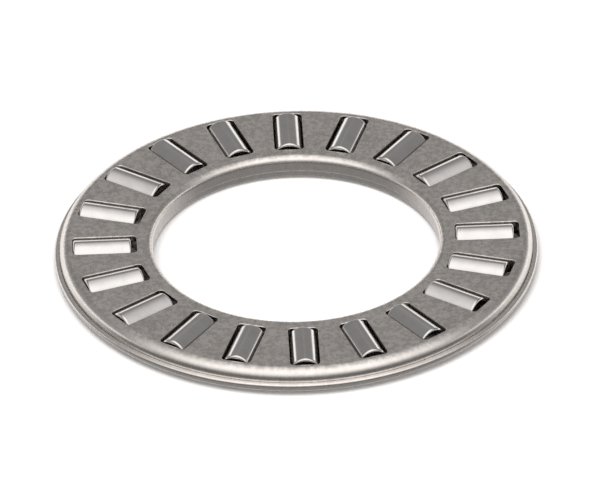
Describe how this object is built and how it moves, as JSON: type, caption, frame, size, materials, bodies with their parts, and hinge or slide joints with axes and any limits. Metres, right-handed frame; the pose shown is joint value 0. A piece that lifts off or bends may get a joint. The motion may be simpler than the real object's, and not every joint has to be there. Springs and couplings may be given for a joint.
{
  "type": "thrust roller bearing cage assembly",
  "caption": "Flat annular thrust bearing: cylindrical rollers lie radially in the windows of a two-piece steel cage, without washers.",
  "frame": {"origin": "on the bearing's axis, in the plane that the rollers stand on", "axes": "+Z along the bearing's axis towards the drawn upper half of the cage; +Y towards the first roller, within 1.7 degrees"},
  "size_m": [0.0318, 0.0318, 0.002],
  "materials": {
    "cage_steel": "satin pressed steel",
    "roller_steel": "ground and polished hardened steel"
  },
  "bodies": {
    "cage": {"cage_top": "cage_steel", "cage_bottom": "cage_steel"},
    "roller_01": {"roller_01": "roller_steel"},
    "roller_02": {"roller_02": "roller_steel"},
    "roller_03": {"roller_03": "roller_steel"},
    "roller_04": {"roller_04": "roller_steel"},
    "roller_05": {"roller_05": "roller_steel"},
    "roller_06": {"roller_06": "roller_steel"},
    "roller_07": {"roller_07": "roller_steel"},
    "roller_08": {"roller_08": "roller_steel"},
    "roller_09": {"roller_09": "roller_steel"},
    "roller_10": {"roller_10": "roller_steel"},
    "roller_11": {"roller_11": "roller_steel"},
    "roller_12": {"roller_12": "roller_steel"},
    "roller_13": {"roller_13": "roller_steel"},
    "roller_14": {"roller_14": "roller_steel"},
    "roller_15": {"roller_15": "roller_steel"},
    "roller_16": {"roller_16": "roller_steel"},
    "roller_17": {"roller_17": "roller_steel"},
    "roller_18": {"roller_18": "roller_steel"},
    "roller_19": {"roller_19": "roller_steel"},
    "roller_20": {"roller_20": "roller_steel"}
  },
  "joints": [
    {"name": "roller_01_spin", "type": "hinge", "parent": "cage", "child": "roller_01", "pos_m": [-0.00037, 0.01256, 0.00099], "axis": [-0.0297, 0.9996, 0], "continuous": true},
    {"name": "roller_02_spin", "type": "hinge", "parent": "cage", "child": "roller_02", "pos_m": [0.00351, 0.01201, 0.00099], "axis": [0.2807, 0.9598, 0], "continuous": true},
    {"name": "roller_03_spin", "type": "hinge", "parent": "cage", "child": "roller_03", "pos_m": [0.00702, 0.01029, 0.00099], "axis": [0.5635, 0.8261, 0], "continuous": true},
    {"name": "roller_04_spin", "type": "hinge", "parent": "cage", "child": "roller_04", "pos_m": [0.00983, 0.0076, 0.00099], "axis": [0.7912, 0.6115, 0], "continuous": true},
    {"name": "roller_05_spin", "type": "hinge", "parent": "cage", "child": "roller_05", "pos_m": [0.01167, 0.00418, 0.00099], "axis": [0.9415, 0.3371, 0], "continuous": true},
    {"name": "roller_06_spin", "type": "hinge", "parent": "cage", "child": "roller_06", "pos_m": [0.01238, 0.00037, 0.00099], "axis": [0.9996, 0.0297, 0], "continuous": true},
    {"name": "roller_07_spin", "type": "hinge", "parent": "cage", "child": "roller_07", "pos_m": [0.01189, -0.00348, 0.00099], "axis": [0.9598, -0.2807, 0], "continuous": true},
    {"name": "roller_08_spin", "type": "hinge", "parent": "cage", "child": "roller_08", "pos_m": [0.01026, -0.007, 0.00099], "axis": [0.8261, -0.5635, 0], "continuous": true},
    {"name": "roller_09_spin", "type": "hinge", "parent": "cage", "child": "roller_09", "pos_m": [0.00762, -0.00985, 0.00099], "axis": [0.6115, -0.7912, 0], "continuous": true},
    {"name": "roller_10_spin", "type": "hinge", "parent": "cage", "child": "roller_10", "pos_m": [0.00421, -0.01177, 0.00099], "axis": [0.3371, -0.9415, 0], "continuous": true},
    {"name": "roller_11_spin", "type": "hinge", "parent": "cage", "child": "roller_11", "pos_m": [0.00037, -0.01255, 0.00099], "axis": [0.0297, -0.9996, 0], "continuous": true},
    {"name": "roller_12_spin", "type": "hinge", "parent": "cage", "child": "roller_12", "pos_m": [-0.00354, -0.0121, 0.00099], "axis": [-0.2807, -0.9598, 0], "continuous": true},
    {"name": "roller_13_spin", "type": "hinge", "parent": "cage", "child": "roller_13", "pos_m": [-0.00713, -0.01046, 0.00099], "axis": [-0.5635, -0.8261, 0], "continuous": true},
    {"name": "roller_14_spin", "type": "hinge", "parent": "cage", "child": "roller_14", "pos_m": [-0.01005, -0.00777, 0.00099], "axis": [-0.7912, -0.6115, 0], "continuous": true},
    {"name": "roller_15_spin", "type": "hinge", "parent": "cage", "child": "roller_15", "pos_m": [-0.01198, -0.00429, 0.00099], "axis": [-0.9415, -0.3371, 0], "continuous": true},
    {"name": "roller_16_spin", "type": "hinge", "parent": "cage", "child": "roller_16", "pos_m": [-0.01273, -0.00038, 0.00099], "axis": [-0.9996, -0.0297, 0], "continuous": true},
    {"name": "roller_17_spin", "type": "hinge", "parent": "cage", "child": "roller_17", "pos_m": [-0.01222, 0.00357, 0.00099], "axis": [-0.9598, 0.2807, 0], "continuous": true},
    {"name": "roller_18_spin", "type": "hinge", "parent": "cage", "child": "roller_18", "pos_m": [-0.01049, 0.00716, 0.00099], "axis": [-0.8261, 0.5635, 0], "continuous": true},
    {"name": "roller_19_spin", "type": "hinge", "parent": "cage", "child": "roller_19", "pos_m": [-0.00775, 0.01002, 0.00099], "axis": [-0.6115, 0.7912, 0], "continuous": true},
    {"name": "roller_20_spin", "type": "hinge", "parent": "cage", "child": "roller_20", "pos_m": [-0.00425, 0.01188, 0.00099], "axis": [-0.3371, 0.9415, 0], "continuous": true}
  ]
}
